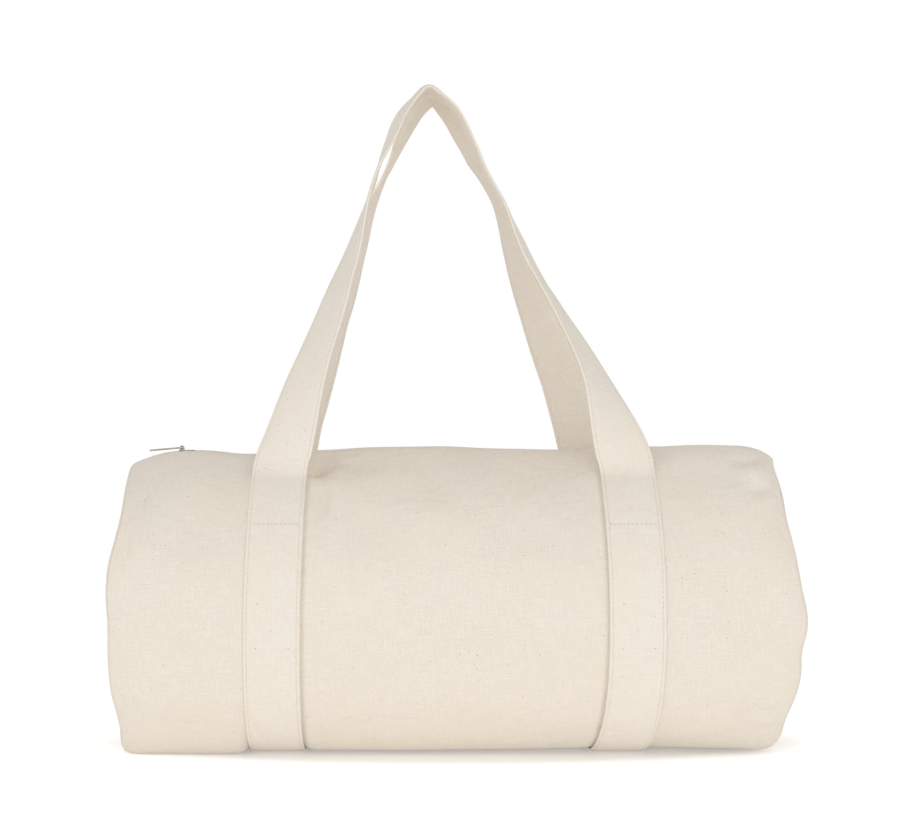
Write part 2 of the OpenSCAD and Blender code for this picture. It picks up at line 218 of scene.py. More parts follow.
weave = {  # of the canvas, in millimetres
    "thread": 0.95,  # real threads lie 0.55 apart, too fine to show, so they are drawn coarser
    "threadDepth": 0.11,
    "wander": 1.6,  # of the threads from their straight lines
    "slubLength": 14,
    "slubWidth": 0.9,
    "seedGap": 11,  # the net in which a speck may lie
    "seedSize": 0.5,
    "seedFray": (0.9, 0.5, 0),
    "seed": "9A8061",
    "warmYarn": "EFE4D0",
    "creaseSize": 34,
    "creaseDepth": 3.2,
}


# undyed cotton canvas, plain weave, unwashed: matt and warm white, with uneven threads, darker
# where they are thick, and brown flecks of seed husk left in the yarn
def makeCanvas(name, light, dark, seedShare=0.28, depth=1.0, thread=weave["thread"]):
    material = newMaterial(name)
    cloth = addNode(material, "ShaderNodeUVMap").outputs[0]
    cloth = addVector(material, "SCALE", {0: cloth, "Scale": 1 / mm})

    # the threads wander a little, and go over and under each other
    wander = addNoise(material, cloth, 0.11).outputs["Color"]
    wander = {0: wander, 1: (weave["wander"], weave["wander"], 0), 2: cloth}
    shift = addVector(material, "MULTIPLY_ADD", wander)
    parts = addNode(material, "ShaderNodeSeparateXYZ", None, {0: shift})
    waves = []
    for axis in (0, 1):
        turn = addMath(material, "MULTIPLY", parts.outputs[axis], math.pi / thread)
        waves.append(addMath(material, "SINE", turn))
    over = addMath(material, "MULTIPLY", *waves)

    # slubs: thick stretches of single threads, along the cloth and across it
    slubs = []
    stretch = (1 / weave["slubLength"], 1 / weave["slubWidth"])
    for along, across in (stretch, stretch[::-1]):
        inputs = {"Vector": cloth, "Scale": (along, across, 1)}
        laid = addNode(material, "ShaderNodeMapping", None, inputs).outputs[0]
        slubs.append(addNoise(material, laid, 1, 1.5, 0.6).outputs[0])
    thick = addRange(material, addMath(material, "ADD", *slubs), 0.62, 1.42)

    # seed flecks: one cell in a few of a net of cells holds one, and its edge is frayed
    fray = addNoise(material, cloth, 1.3).outputs["Color"]
    frayed = addVector(material, "MULTIPLY_ADD", {0: fray, 1: weave["seedFray"], 2: cloth})
    net = addNode(
        material, "ShaderNodeTexVoronoi", {"voronoi_dimensions": "2D"},
        {"Vector": frayed, "Scale": 1 / weave["seedGap"]},
    )
    reach = weave["seedSize"] / weave["seedGap"]
    near = addRange(material, net.outputs["Distance"], 0.3 * reach, reach, 1, 0)
    cell = addNode(material, "ShaderNodeSeparateXYZ", None, {0: net.outputs["Color"]})
    chosen = addMath(material, "LESS_THAN", cell.outputs[0], seedShare)
    seed = addMath(material, "MULTIPLY", near, chosen)
    seed = addMath(material, "MULTIPLY", seed, cell.outputs[1])

    # slow patches of warmer and cooler yarn, and painted shade in the gaps between threads, with a
    # little painted light on their tops
    patches = addNoise(material, cloth, 0.021, 3, 0.55).outputs[0]
    tone = addMix(material, thick, colour(light), colour(dark))
    warm = addRange(material, patches, 0.35, 0.65, 0, 0.3)
    tone = addMix(material, warm, tone, colour(weave["warmYarn"]))
    threadShade = addRange(material, over, -1, 1, 0.968, 1.014)
    tone = addVector(material, "SCALE", {0: tone, "Scale": threadShade})
    tone = addMix(material, seed, tone, colour(weave["seed"]))

    # threads, slubs and faint handling creases stand up
    creases = addNoise(material, cloth, 1 / weave["creaseSize"], 4, 0.62, 0.6).outputs[0]
    threads = addMath(material, "MULTIPLY_ADD", over, 0.5, thick)
    fine = addBump(material, threads, weave["threadDepth"] * depth, 0.8)
    soft = addBump(material, creases, weave["creaseDepth"] * depth, 0.55, fine)
    return coat(material, {
        "Base Color": tone, "Roughness": 0.92, "Specular IOR Level": 0.25,
        "Sheen Weight": 0.12, "Sheen Roughness": 0.5, "Normal": soft,
    })


# spun polyester thread, unbleached: a twist that catches a little light, shown as bands of painted
# highlight and painted shade along the plies, and as bumps
def makeThread():
    material = newMaterial("sewingThread")
    ply = addNode(
        material, "ShaderNodeTexWave", {"wave_type": "BANDS", "bands_direction": "DIAGONAL"},
        {"Vector": placeOn(material), "Scale": 900, "Distortion": 2},
    ).outputs["Fac"]
    # bands of painted highlight and painted shade along the twist
    tone = addMix(material, ply, colour("E9DFCC"), colour("DCCFB8"))
    bump = addBump(material, ply, 0.05)
    return coat(
        material, {"Base Color": tone, "Roughness": 0.6, "Sheen Weight": 0.1, "Normal": bump}
    )


# painted shade of a needle hole: a darker dot where the pierced cloth lies all in shadow
def makeHoleShade():
    material = newMaterial("needleHoleShade")
    fibres = addNoise(material, placeOn(material), 900, space="3D").outputs[0]
    tone = addMix(material, fibres, colour("DBD0BF"), colour("CDC1AD"))
    return coat(material, {"Base Color": tone, "Roughness": 1.0})


# nylon monofilament wound into a coil: smooth and slightly waxy
def makeNylon():
    material = newMaterial("nylonCoil")
    cloud = addNoise(material, placeOn(material), 260, space="3D").outputs[0]
    tone = addMix(material, cloud, colour("EDE4D2"), colour("E0D5BE"))
    rough = addRange(material, cloud, start=0.3, end=0.46)
    return coat(material, {"Base Color": tone, "Roughness": rough, "IOR": 1.53})


# zinc casting, barrel-plated with nickel: bright, slightly yellow, with fine tumbling marks
def makeNickel():
    material = newMaterial("nickelPlate")
    marks = addNoise(material, placeOn(material), 700, 5, 0.7, 1.5, "3D").outputs[0]
    tone = addMix(material, marks, colour("BDB7AC"), colour("989184"))
    rough = addRange(material, marks, 0.3, 0.7, 0.16, 0.32)
    bump = addBump(material, marks, 0.02, 0.5)
    return coat(
        material, {"Base Color": tone, "Metallic": 1.0, "Roughness": rough, "Normal": bump}
    )


canvas = makeCanvas("canvasPlainWeave", "F2E9DE", "E9DFD1")
strapCanvas = makeCanvas("strapCanvas", "F4ECE2", "ECE3D6", 0.22)
zipTape = makeCanvas("zipTapeWoven", "EDE3D0", "DDD1BA", 0.0, 0.5, 0.6)
sewingThread = makeThread()
holeShade = makeHoleShade()
nylonCoil = makeNylon()
nickel = makeNickel()
print("the materials are made")


# the body's form, as its construction has it
body = {
    "length": 478,
    "depth": 236,
    "crown": 227,
    "belly": 110,
    "underside": 2.55,
    "floorPress": 3.5,
    "topFullness": 2.0,
    "bottomFullness": 2.6,
    "endDrop": 6,
    "endDropLength": 26,
    "turnIn": 3.5,
    "turnLength": 12,
    "seamBow": 7,
    "endSwell": 11,
    "zipSink": 7,
    "sinkWidth": 34,
    "lipGap": 14,
    "cloth": 1.2,
}
halfLength = body["length"] / 2
halfDepth = body["depth"] / 2


def power(value, exponent):
    return np.sign(value) * np.abs(value) ** exponent


def smooth(t):
    t = np.clip(t, 0, 1)
    return t * t * (3 - 2 * t)


# 0 up to start, then a soft rise to 1
def comeIn(value, start, over):
    return smooth((value - start) / over)


def unit(v):
    return v / np.linalg.norm(v, axis=-1, keepdims=True)


def runAlong(line):
    return np.concatenate([[0], np.cumsum(np.linalg.norm(np.diff(line, axis=0), axis=1))])


# y and z of the cross-section at angle a in degrees (180 is the front belly, 270 the floor)
def section(a, inset, x):
    a, x = np.broadcast_arrays(np.radians(a), x)
    up = np.sin(a) >= -1e-9
    share = 2 / np.where(up, body["topFullness"], body["bottomFullness"])
    toEnd = np.abs(x) - halfLength
    fall = body["endDrop"] * smooth((toEnd + body["endDropLength"]) / body["endDropLength"])
    turn = np.clip((toEnd + body["turnLength"]) / body["turnLength"], 0, None)
    k = inset + body["turnIn"] * turn**2
    above = body["crown"] - body["belly"] - fall
    below = body["belly"] - body["underside"] + body["floorPress"]
    y = (halfDepth - k) * power(np.cos(a), share)
    z = body["belly"] + (np.where(up, above, below) - k) * power(np.sin(a), share)
    sunk = body["zipSink"] * np.cos(np.radians(90) * y / body["sinkWidth"]) ** 2
    hollow = np.where(np.abs(y) >= body["sinkWidth"], 0, sunk)
    return y, np.maximum(body["underside"] + k, z - hollow)


def skin(a, inset, x):
    y, z = section(a, inset, x)
    bow = body["seamBow"] * (np.abs(x) / halfLength) ** 5 * np.cos(np.radians(a)) ** 2
    return np.stack([x + np.sign(x) * bow, y, z], -1)


# angles that lie evenly along the cloth from angle start to angle end
def evenAngles(shares, start, end, inset=0.0, x=0.0):
    fine = np.linspace(start, end, 4001)
    y, z = section(fine, inset, x)
    run = np.concatenate([[0], np.cumsum(np.hypot(np.diff(y), np.diff(z)))])
    return np.interp(np.asarray(shares) * run[-1], run, fine), run[-1]


def only(piece):
    if bpy.context.object and bpy.context.object.mode != "OBJECT":
        bpy.ops.object.mode_set(mode="OBJECT")
    bpy.ops.object.select_all(action="DESELECT")
    piece.select_set(True)
    bpy.context.view_layer.objects.active = piece


# one of Blender's primitives, with its place and turn in its mesh
def addPrimitive(name, command, **settings):
    bpy.ops.object.select_all(action="DESELECT")
    command(**settings)
    bpy.ops.object.transform_apply(location=True, rotation=True, scale=True)
    piece = bpy.context.object
    piece.name = name
    return piece


# one of Blender's edit commands, on the whole of a piece
def editWhole(piece, command, **settings):
    only(piece)
    bpy.ops.object.mode_set(mode="EDIT")
    bpy.ops.mesh.select_all(action="SELECT")
    command(**settings)
    bpy.ops.object.mode_set(mode="OBJECT")


def points(piece):
    flat = np.empty(len(piece.data.vertices) * 3)
    piece.data.vertices.foreach_get("co", flat)
    return flat.reshape(-1, 3)


def setPoints(piece, place):
    piece.data.vertices.foreach_set("co", np.ascontiguousarray(place, float).ravel())
    piece.data.update()


def readUv(piece):
    layer = piece.data.uv_layers.active.data
    flat = np.empty(len(layer) * 2)
    layer.foreach_get("uv", flat)
    return flat.reshape(-1, 2)


def writeUv(piece, flat):
    piece.data.uv_layers.active.data.foreach_set("uv", flat.ravel())


# the u or v of each point, from the corners that meet there
def uvOfPoints(piece, axis):
    result = np.zeros(len(piece.data.vertices))
    layer = piece.data.uv_layers.active.data
    for loop in piece.data.loops:
        result[loop.vertex_index] = layer[loop.index].uv[axis]
    return result


# a grid, its u and v from 0 to 1, laid by place(u, v); its UV map is in metres of cloth
def addSheet(name, uFaces, vFaces, place, clothSize):
    piece = addPrimitive(
        name, bpy.ops.mesh.primitive_grid_add, x_subdivisions=uFaces, y_subdivisions=vFaces, size=1
    )
    piece.data.name = name
    flat = points(piece)
    setPoints(piece, place(flat[:, 0] + 0.5, flat[:, 1] + 0.5) * mm)
    writeUv(piece, readUv(piece) * np.array(clothSize) * mm)
    return piece


def applyModifier(piece, kind, **settings):
    only(piece)
    modifier = piece.modifiers.new(kind.lower(), kind)
    for key, value in settings.items():
        setattr(modifier, key, value)
    bpy.ops.object.modifier_apply(modifier=modifier.name)


def thicken(piece, thickness):
    applyModifier(piece, "SOLIDIFY", thickness=thickness * mm, offset=0)


def weigh(piece, groupName, weights):
    group = piece.vertex_groups.new(name=groupName)
    for index, weight in enumerate(weights):
        group.add([index], float(weight), "REPLACE")


def finishPiece(piece, material, angle=None):
    only(piece)
    piece.data.materials.clear()
    piece.data.materials.append(material)
    if angle is None:
        bpy.ops.object.shade_smooth()
    else:
        bpy.ops.object.shade_smooth_by_angle(angle=math.radians(angle))
    return piece


# moves are shared out among neighbouring points, so that no hard ridge is left between them
def evenOut(piece, moved, passes):
    ends = np.empty(len(piece.data.edges) * 2, dtype=int)
    piece.data.edges.foreach_get("vertices", ends)
    one, other = ends.reshape(-1, 2).T
    share = 1 + np.bincount(ends, minlength=len(moved))[:, None]
    for _ in range(passes):
        total = moved.copy()
        np.add.at(total, one, moved[other])
        np.add.at(total, other, moved[one])
        moved = total / share
    return moved


canvasFill = {  # how the cloth is blown out by the clothes in the bag
    "cloth": {
        "quality": 5,
        "mass": 0.25,
        "tension_stiffness": 20,
        "compression_stiffness": 20,
        "shear_stiffness": 9,
        "bending_stiffness": 1.2,
        "shrink_min": -0.007,  # spare cloth
        "use_pressure": True,
        "uniform_pressure_force": 2.2,
        "vertex_group_mass": "held",
    },
    "frames": 20,
    "cap": 3.6,  # the furthest that it goes
    "evened": 14,
}


# held says how firmly each point of the cloth stays
def fillOut(piece, held, fill):
    start = points(piece)
    weigh(piece, "held", held)
    only(piece)
    cloth = piece.modifiers.new("fullness", "CLOTH")
    for key, value in fill["cloth"].items():
        setattr(cloth.settings, key, value)
    cloth.settings.effector_weights.gravity = 0
    cloth.collision_settings.use_collision = False
    cloth.point_cache.frame_start = 1
    cloth.point_cache.frame_end = fill["frames"]
    for step in range(1, fill["frames"] + 1):
        bpy.context.scene.frame_set(step)
    bpy.ops.object.modifier_apply(modifier="fullness")
    bpy.context.scene.frame_set(1)
    piece.vertex_groups.clear()
    moved = points(piece) - start
    reach = np.linalg.norm(moved, axis=1)
    cap = fill["cap"] * mm
    moved *= (cap * np.tanh(reach / cap) / np.maximum(reach, 1e-9))[:, None]
    moved = evenOut(piece, moved, fill["evened"]) * (1 - held)[:, None]
    setPoints(piece, start + moved)
    print(piece.name, "filled out by up to", round(float(reach.max()) * 1000, 1), "mm")


# the canvas of the body is one panel wrapped round from lip to lip, and two round ends
panel = {
    "faceSize": 6.0,  # of the simulated cloth; one subdivision halves it
    "columns": [14, 3, 5, 3, 33, 3, 5, 3, 14],  # between the stops along the bag
    "strapWidth": 40,
    "besideEdge": 4,  # half the width of the narrow columns along the straps' edges
    "strapCorner": (6, 12),  # degrees past the crease, where the straps leave the body
    "innerDip": 1.3,  # beside the straps
    "outerDip": -0.9,  # there the cloth swells up against them
    "dipAt": 0.6,  # from the straps' edges
    "dipWidth": 1.2,
    "dipFloor": (5, 20),  # it comes in up from the floor
    "creaseY": 67,
    "seatGap": 0.15,
    "heldEnd": 22,  # what the fill can't move: along the seams,
    "heldLip": (14, 150),  # by the zip,
    "heldFloor": (8, 70),  # on the floor
    "heldStrap": 24,  # and under the straps
    "settleBeside": 8,  # over what length the cloth beside a strap is free to settle
}
creaseAngle = math.degrees(math.acos(panel["creaseY"] / halfDepth))

# middle line of each strap round the body, as angle and x: the right one slants in underneath
strapLines = {
    -1: [(120, -128), (160, -128.6), (185, -129.8), (240, -130.5), (330, -131), (420, -131.5)],
    1: [(120, 125), (145, 126.5), (165, 128), (190, 128.7), (210, 126.8), (228, 124),
        (250, 119.5), (290, 114), (360, 107), (420, 105.5)],
}


def strapMiddle(a, side):
    angles, places = zip(*strapLines[side])
    return sum(np.interp(np.asarray(a) + d, angles, places) for d in (-9, -5, 0, 5, 9)) / 5


# 1 where a strap lies on the body, 0 above the creases where the handles leave it
def onBody(a):
    past, over = panel["strapCorner"]
    return smooth((creaseAngle + past - np.abs(270 - a) + 90) / over)


# 1 under a strap, falling to 0 over some millimetres beside it
def underStrap(a, x, fade=12):
    result = np.zeros(np.broadcast(a, x).shape)
    for side in (-1, 1):
        beside = np.abs(x - strapMiddle(a, side)) - panel["strapWidth"] / 2
        result = np.maximum(result, (1 - smooth((beside + 1) / fade)) * onBody(a))
    return result


# straight out of the body, in the plane of its cross-section
def outward(a):
    a = np.radians(a)
    return np.stack([np.zeros(len(a)), np.cos(a), np.sin(a)], -1)


# soft hollows and swellings of the filled cloth: x, height, radius along and up, depth out
frontDents = [
    (178, 214, 60, 10, 3.2),
    (-52, 203, 34, 9, 1.6),
    (-96, 194, 6, 20, -3.0),
    (-85, 198, 7, 22, 1.8),
    (-98, 217, 14, 8, -4.6),
    (-104.5, 211.5, 6, 5.5, -9.0),
    (-100, 199, 9, 6, 2.0),
    (-86, 186, 7, 30, 1.6),
    (-80, 213, 18, 7, -2.6),
    (-30, 212, 26, 8, -0.8),
    (-16, 196, 9, 15, -1.1),
    (-4, 182, 8, 14, -0.9),
    (14, 190, 14, 22, 0.6),
    (214, 211, 11, 4, -3.2),
    (224, 203, 11, 5.5, 3.0),
    (223, 193, 9, 4, -2.8),
    (-226, 190, 4, 22, -2.2),
    (-236, 168, 4, 18, -2.4),
    (-214, 178, 12, 26, 1.6),
    (224, 38, 12, 3.2, -2.2),
    (222, 31, 12, 4.5, 1.5),
    (40, 120, 70, 60, 1.2),
    (-60, 70, 60, 40, -0.9),
    (180, 150, 30, 50, -1.0),
    (-190, 100, 30, 45, 1.0),
]


# where they and the unevenness come in: from, and over what length
dentReach = {
    "front": (5, 30),
    "floor": (6, 25),
    "lips": (12, 25),  # away from the zip, but only above this height:
    "lipsAbove": 180,
}


def pressDents(place, a):
    x, y, z = place.T
    front = comeIn(-y, *dentReach["front"])
    out = np.zeros(len(x))
    for dentX, height, along, up, depth in frontDents:
        out += depth * np.exp(-(((x - dentX) / along) ** 2) - ((z - height) / up) ** 2)
    # long, slow unevenness, everywhere but under the straps: heights and lengths of waves
    lumps = (
        0.8 * np.sin(x / 31 + 0.7) * np.sin(z / 27 + y / 60 + 1.1)
        + 0.5 * np.sin(x / 17 + z / 41 + 2.0) * np.sin(y / 23 + z / 19)
        + 0.35 * np.sin(x / 11 - y / 37) * np.sin(z / 13 + 0.4)
    )
    lips = comeIn(np.abs(y), *dentReach["lips"])
    free = (1 - underStrap(a, x)) * comeIn(z, *dentReach["floor"])
    free = free * np.where(z > dentReach["lipsAbove"], lips, 1)
    return place + outward(a) * ((out * front + lumps) * free)[:, None]


# the straps are drawn tight round the filled bag, so the cloth dips along their edges
def dipBeside(place, a):
    x, y, z = place.T
    dip = np.zeros(len(x))
    tight = onBody(a) * comeIn(z, *panel["dipFloor"])
    for side in (-1, 1):
        past = (strapMiddle(a, side) - x) * side  # positive towards the middle of the bag
        for edge, depth in ((1, panel["innerDip"]), (-1, panel["outerDip"])):
            beside = past * edge - panel["strapWidth"] / 2
            off = (beside - panel["dipAt"]) / panel["dipWidth"]
            dip += depth * tight * np.exp(-(off**2))
    return place - outward(a) * dip[:, None]


# places along the bag of the panel's columns: narrow ones lie along the straps' edges
def columnPlaces(u, a):
    half, beside = panel["strapWidth"] / 2, panel["besideEdge"]
    stops = [np.full(len(a), -halfLength)]
    for side in (-1, 1):
        for off in (-half - beside, -half + beside, half - beside, half + beside):
            stops.append(strapMiddle(a, side) + off)
    stops.append(np.full(len(a), halfLength))
    at = np.concatenate([[0], np.cumsum(panel["columns"])]) / sum(panel["columns"])
    x = stops[0].copy()
    for k in range(len(stops) - 1):
        x += (stops[k + 1] - stops[k]) * np.clip((u - at[k]) / (at[k + 1] - at[k]), 0, 1)
    return x


def makeBodyPanel():
    lipAngle = math.degrees(math.acos(body["lipGap"] / 2 / halfDepth))
    start, end = 180 - lipAngle, 360 + lipAngle
    run = evenAngles([0, 1], start, end)[1]

    def lay(u, v):
        a = evenAngles(v, start, end)[0]
        return skin(a, body["cloth"] / 2, columnPlaces(u, a))

    # the wrap angle of each point, read back from the UV map
    def wrapAngles():
        return evenAngles(uvOfPoints(piece, 1) / (run * mm), start, end)[0]

    around = int(round(run / panel["faceSize"]))
    piece = addSheet("bodyPanel", sum(panel["columns"]), around, lay, (body["length"], run))
    place = points(piece) / mm
    x, y, z = place.T
    for loop in piece.data.loops:
        along = (x[loop.vertex_index] + halfLength) * mm
        piece.data.uv_layers.active.data[loop.index].uv[0] = along
    near, above = panel["heldLip"]
    held = [
        1 - smooth((halfLength - np.abs(x)) / panel["heldEnd"]),
        smooth((np.abs(y) < near) & (z > above)),
        1 - comeIn(z, *panel["heldFloor"]),
        underStrap(wrapAngles(), x, panel["heldStrap"]),
    ]
    fillOut(piece, np.maximum.reduce(held), canvasFill)
    applyModifier(piece, "SUBSURF", levels=1, render_levels=1)
    a = wrapAngles()
    place = dipBeside(pressDents(points(piece) / mm, a), a)
    free = 1 - underStrap(a, place[:, 0], panel["settleBeside"])
    setPoints(piece, settle(place, free) * mm)
    return piece


# how the clothes inside push each end out, or leave it short, by height
endLine = {
    -1: [(0, 6), (5, 5), (10, 3.6), (14, 2), (21, -1.3), (35, -2.6), (50, -1.4), (72, -1.8),
         (100, -2.6), (122, -0.7), (140, -0.8), (148, -1.9), (158, -3.6), (173, -5),
         (187, -4.2), (202, -2), (215, 1)],
    1: [(0, -10), (5, -7.5), (13, -6.2), (21, -6.7), (28, -7.9), (36, -6.8), (43, -5.3),
        (50, -4), (65, -2.3), (80, -4), (92, -0.6), (98, 1), (109, 0.4), (120, -2.4),
        (130, -3.8), (144, -5.2), (158, -6.8), (172, -8.7), (185, -7.5), (197, -7), (207, -7),
        (214, -3), (220, 0)],
}
# how they lift the top or leave it sunken, along the bag
topLine = [
    (-250, 1), (-236, -1), (-222, -4), (-210, -2.6), (-198, -1.2), (-187, -2.4), (-172, -4.6),
    (-150, -4.8), (-135, -3), (-98, -1.6), (-66, 1.0), (-45, 1.9), (-10, 1.9), (20, 0.6),
    (75, -1.6), (110, -0.4), (150, 1.5), (200, 2.2), (225, 2.4), (250, 2),
]
# how far the cloth of the underside hangs to the floor
floorLine = [
    (-250, -2.1), (-170, -2.1), (-120, -1.0), (-40, -1.2), (60, -0.8), (140, 0), (190, -0.6),
    (250, -1.2),
]
# the zip dips where the bag is half empty under it
zipHollow = {"x": -160, "depth": 3.2, "reach": 17}


def zipDip(x):
    return -zipHollow["depth"] * np.exp(-(((x - zipHollow["x"]) / zipHollow["reach"]) ** 2))


# where each of these comes in: from, and over what length
settling = {
    "ends": (196, 44),
    "besideZip": (8, 22),
    "top": (135, 70),
    "underside": (4, 26),
    "lowest": (3, 5),  # from here up the hang is stronger,
    "lowestGain": 2.4,  # by so much more
}


# moves what belongs to the body by all of them; free is 0 where a strap holds the cloth
def settle(place, free=1.0):
    x, y, z = place.T
    moved = place.copy()
    out = np.zeros(len(x))
    for side, line in endLine.items():
        reach = sum(np.interp(z + d, *zip(*line)) for d in (-4, 0, 4)) / 3
        out += np.where(x * side > 0, reach, 0)
    moved[:, 0] += np.sign(x) * out * comeIn(np.abs(x), *settling["ends"])
    lift = sum(np.interp(x + d, *zip(*topLine)) for d in (-8, 0, 8)) / 3
    beside = comeIn(np.abs(y), *settling["besideZip"])
    lift = zipDip(x) * (1 - beside) + lift * beside
    moved[:, 2] += free * comeIn(z, *settling["top"]) * lift
    hang = np.interp(x, *zip(*floorLine)) * (1 - comeIn(z, *settling["underside"]))
    moved[:, 2] += free * hang * (1 + settling["lowestGain"] * comeIn(z, *settling["lowest"]))
    return moved


# a square's u and v, from -1 to 1, as a share of the radius and an angle: the disc has no pole
def squareToDisc(u, v):
    wide = np.abs(u) > np.abs(v)
    reach = np.where(wide, u, v)
    safe = np.where(reach == 0, 1, reach)
    turn = np.where(wide, 45 * v / safe, 90 - 45 * u / safe)
    turn = np.where(reach < 0, turn + 180, turn)
    return np.abs(reach), turn


endPanel = {
    "facesAcross": 40,
    "rim": 0.994,  # share of the body's section that the flat end fills
    "turnFrom": 0.9,  # from here outwards the seam allowance turns in behind the wrapped panel
    "turnIn": 3.4,
    "turnNarrow": 0.008,
    "folds": [  # depth out, height, radius up, y on the right end, radius across
        (-2.6, 176, 9, -20, 46),
        (1.8, 160, 10, -10, 50),
        (-2.0, 34, 8, 15, 50),
    ],
}


def makeEndPanel(name, side):
    def lay(u, v):
        share, a = squareToDisc(2 * u - 1, 2 * v - 1)
        q = np.sin(np.radians(90) * share) * endPanel["rim"]
        rimY, rimZ = section(a, 0.0, halfLength)
        bow = body["seamBow"] * (np.cos(np.radians(a)) * q) ** 2
        swell = (body["endSwell"] - body["cloth"] / 2) * np.sqrt(1 - q * q)
        tuck = comeIn(share, endPanel["turnFrom"], 1 - endPanel["turnFrom"])
        x = side * (halfLength + bow + swell - endPanel["turnIn"] * tuck)
        q = q - endPanel["turnNarrow"] * tuck
        return np.stack([x, rimY * q, body["belly"] + (rimZ - body["belly"]) * q], -1)

    faces = endPanel["facesAcross"]
    piece = addSheet(name, faces, faces, lay, (body["depth"], body["crown"]))
    if side < 0:
        editWhole(piece, bpy.ops.mesh.flip_normals)
    place = points(piece) / mm
    x, y, z = place.T
    radius = np.hypot(y / halfDepth, (z - body["belly"]) / body["belly"])
    hollow = (
        1.4 * np.sin(y / 26 + 0.8 * side) * np.sin(z / 31 + 0.5)
        + 0.7 * np.sin(y / 13 + z / 29 + side)
    )
    for depth, height, up, foldY, across in endPanel["folds"]:
        off = ((z - height) / up) ** 2 + ((y - foldY * side) / across) ** 2
        hollow += depth * np.exp(-off)
    place[:, 0] += side * hollow * np.clip(1.2 * (1 - radius), 0, 1)
    setPoints(piece, settle(place) * mm)
    return piece


# the straps: two bands sewn round the body, and the two handles that they run on into
strap = {
    "width": 40,
    "thickness": 2.4,
    "stitchIn": 2.4,  # from the edge to the row of stitches
    "stationGap": 3.2,
    "ripple": 0.6,  # of the free handles
    "sewnAbove": 54,  # from the hinge line down to the cross row
    "foldY": 68.86,
    "foldZ": 209.0,
    "creaseLow": {-1: 3.4, 1: 2.2},  # degrees that the sewn part ends below the hinge line
    "endFaces": 12,  # of the sewn part
    "leanY": 20.4,  # how near the middle each handle comes,
    "leanRise": 284,  # at this height above the fold
    "squareBelow": (-4, 34),  # from the fold, over what height the handle turns into its run
    "peak": {"x": -20, "reach": 26, "height": (440, 40), "halfWidth": 17},
}
sewnTo = math.degrees(strap["sewnAbove"] / halfDepth)
# across the strap, as shares of its half width, and how plump it is there
strapColumns = [
    -1, -0.985, -0.96, -0.92, -0.88, -0.83, -0.7, -0.35, 0,
    0.35, 0.7, 0.83, 0.88, 0.92, 0.96, 0.985, 1,
]
strapPlump = [
    0.22, 0.48, 0.66, 0.72, 0.62, 0.82, 1.0, 0.97, 0.95,
    0.97, 1.0, 0.82, 0.62, 0.72, 0.66, 0.48, 0.22,
]

# each handle's run: x and height of its middle line, and degrees that it has turned edge-on
frontHandleRun = [
    (-126.5, 216, 9), (-123.6, 224, 16), (-119, 241, 28), (-114, 260, 37.5), (-110, 274, 43),
    (-105, 289, 48.5), (-99.7, 304, 53), (-94.2, 319, 57), (-89.2, 334, 60.5),
    (-84.2, 349, 65.5), (-78.8, 364, 70.5), (-74.2, 379, 76), (-70, 394, 81), (-65.4, 409, 85),
    (-60.2, 424, 87), (-56, 437, 84), (-51.1, 448.5, 79.5), (-46.5, 459.6, 76.5),
    (-42.9, 470, 75.5), (-36.8, 480.5, 77), (-29.5, 489, 81), (-20.5, 495.6, 88),
    (-9.5, 488.5, 90), (0, 479, 90), (6.5, 468, 90), (11.5, 457, 90), (17, 445, 89),
    (22.5, 432, 89), (30, 418, 88), (36.8, 406, 87), (42.7, 393, 85), (48.6, 379, 82),
    (55.2, 364, 81), (63.2, 349, 80.5), (72.3, 334, 78), (80.8, 319, 75), (89.3, 304, 71),
    (97.2, 289, 66), (104.1, 274, 59.5), (109.5, 260, 50), (114.5, 245, 36), (119, 231, 20),
    (122.5, 220, 6), (124, 215, 2),
]
backHandleRun = [
    (-131, 216, 3), (-129, 225, 11), (-124, 245, 24), (-118, 261, 32), (-112.5, 277, 37),
    (-107, 292, 44), (-101.5, 308, 51.5), (-96, 324, 58), (-89.8, 339, 63), (-84.3, 355, 68),
    (-79, 370, 75), (-74, 386, 78), (-69.5, 401, 81), (-63.6, 417, 84), (-56, 432, 90),
    (-48.4, 447, 88), (-41.6, 462, 82), (-34, 476, 79), (-26.5, 487, 78), (-17, 493.6, 80),
    (-7.5, 486, 73), (-1.5, 477, 73), (3.5, 467, 75), (9, 457, 77), (14, 447, 79),
    (20.6, 437, 82), (26.7, 427, 83), (33.2, 415, 82), (38.5, 401, 78), (42.8, 386, 75),
    (48.5, 370, 69), (54, 355, 62), (60.5, 339, 54), (67, 324, 46), (73.5, 308, 39),
    (80, 292, 33), (86, 277, 28), (91.5, 261, 22), (96.5, 245, 16), (101.5, 226, 8),
    (104, 216, 2),
]


# a smooth curve through rows of numbers, at even steps along the first three
def throughRows(rows, step):
    rows = np.asarray(rows, float)
    run = runAlong(rows[:, :3])
    count = max(2, int(round(run[-1] / step)) + 1)
    at = np.linspace(0, run[-1], count)
    slopes = np.gradient(rows, run, axis=0)
    k = np.clip(np.searchsorted(run, at, side="right") - 1, 0, len(run) - 2)
    h = (run[k + 1] - run[k])[:, None]
    t = (at - run[k])[:, None] / h
    curve = (2 * t**3 - 3 * t**2 + 1) * rows[k] + (3 * t**2 - 2 * t**3) * rows[k + 1]
    return curve + (t**3 - 2 * t**2 + t) * slopes[k] * h + (t**3 - t**2) * slopes[k + 1] * h


# middle line, direction across and direction out of the face, at each station of a strap
def bandStations(side, start, end):
    inset = -panel["seatGap"] - strap["thickness"] / 2
    run = evenAngles([0, 1], start, end, inset)[1]
    count = int(round(run / strap["stationGap"])) + 1
    a = evenAngles(np.linspace(0, 1, count), start, end, inset)[0]
    y, z = section(a, inset, np.zeros(count))
    middle = np.stack([strapMiddle(a, side), y, z], -1)
    across = np.tile([1.0, 0, 0], (count, 1))
    return middle, across, unit(np.cross(unit(np.gradient(middle, axis=0)), across))


